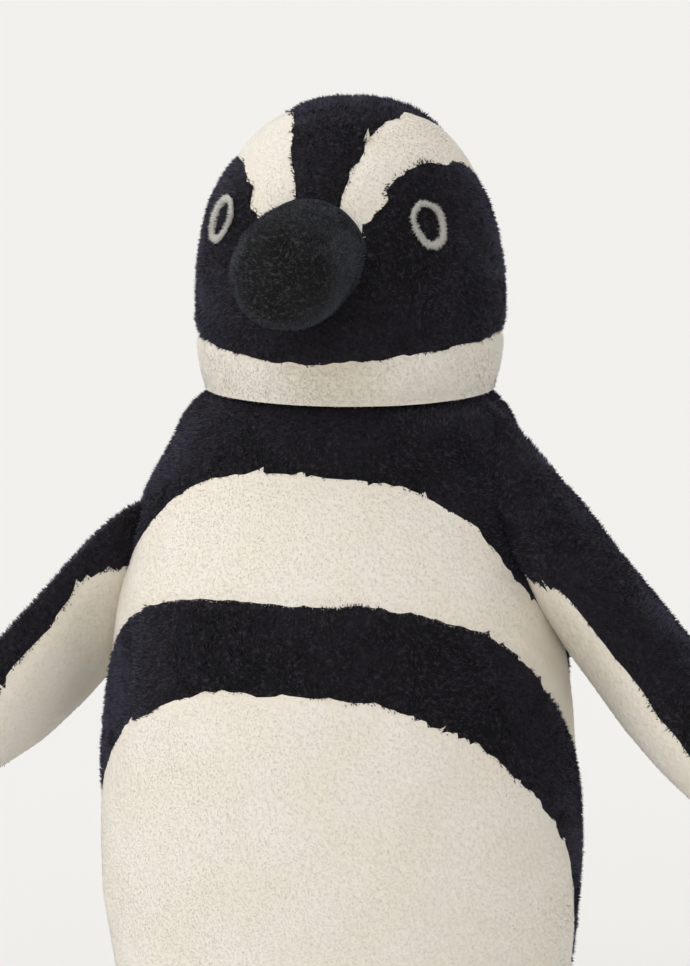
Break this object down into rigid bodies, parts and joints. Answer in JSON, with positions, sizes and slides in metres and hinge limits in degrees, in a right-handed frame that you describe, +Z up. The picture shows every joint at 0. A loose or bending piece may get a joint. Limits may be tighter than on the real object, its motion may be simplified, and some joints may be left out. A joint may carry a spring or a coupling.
{
  "type": "plush penguin",
  "caption": "Upright soft penguin of sewn pile panels over loose filling, with a turning head, springy flippers, a felted beak and webbed feet.",
  "frame": {"origin": "on the floor under the middle of the body's base", "axes": "+Z up, the face looks along -Y, +X is the penguin's own left"},
  "size_m": [0.4194, 0.2263, 0.53],
  "materials": {
    "black_wool": "dense short sheared pile, near black with a cool sheen",
    "cream_wool": "dense short sheared pile, warm cream",
    "charcoal_felt": "brushed wool felt, charcoal",
    "eye_wool": "needle-felted wool, warm grey-white",
    "filling": "loose polyester fibre",
    "pellets": "cotton bag of small pellets"
  },
  "bodies": {
    "body": {"collar_left": "black_wool", "collar_right": "black_wool", "chest_left": "cream_wool", "chest_right": "cream_wool", "breast_band_left": "black_wool", "breast_band_right": "black_wool", "belly_left": "cream_wool", "belly_right": "cream_wool", "back_left": "black_wool", "back_right": "black_wool", "base_panel": "black_wool", "body_filling": "filling", "pellet_bag": "pellets", "tail_cover": "black_wool", "tail_filling": "filling", "foot_upper_left": "charcoal_felt", "foot_upper_right": "charcoal_felt", "foot_sole_left": "charcoal_felt", "foot_sole_right": "charcoal_felt", "foot_filling_left": "filling", "foot_filling_right": "filling"},
    "head": {"crown_panel": "black_wool", "brow_stripe_left": "cream_wool", "brow_stripe_right": "cream_wool", "cheek_left": "black_wool", "cheek_right": "black_wool", "throat_band_left": "cream_wool", "throat_band_right": "cream_wool", "eye_ring_left": "eye_wool", "eye_ring_right": "eye_wool", "beak_cover": "charcoal_felt", "beak_filling": "filling", "head_filling": "filling"},
    "flipper_left": {"flipper_outer_left": "black_wool", "flipper_inner_left": "cream_wool", "flipper_filling_left": "filling"},
    "flipper_right": {"flipper_outer_right": "black_wool", "flipper_inner_right": "cream_wool", "flipper_filling_right": "filling"}
  },
  "joints": [
    {"name": "head_turn", "type": "hinge", "parent": "body", "child": "head", "pos_m": [0, 0.008, 0.3963], "axis": [0, 0, 1], "range_deg": [-15, 15], "stiffness_Nm_per_rad": 0.8},
    {"name": "flipper_lift_left", "type": "hinge", "parent": "body", "child": "flipper_left", "pos_m": [0.092, -0.005, 0.328], "axis": [0.2138, -0.9563, 0.1994], "range_deg": [-5, 40], "stiffness_Nm_per_rad": 0.4, "springref_deg": 2.86},
    {"name": "flipper_lift_right", "type": "hinge", "parent": "body", "child": "flipper_right", "pos_m": [-0.092, -0.005, 0.328], "axis": [0.2138, 0.9563, -0.1994], "range_deg": [-5, 40], "stiffness_Nm_per_rad": 0.4, "springref_deg": 2.86}
  ]
}
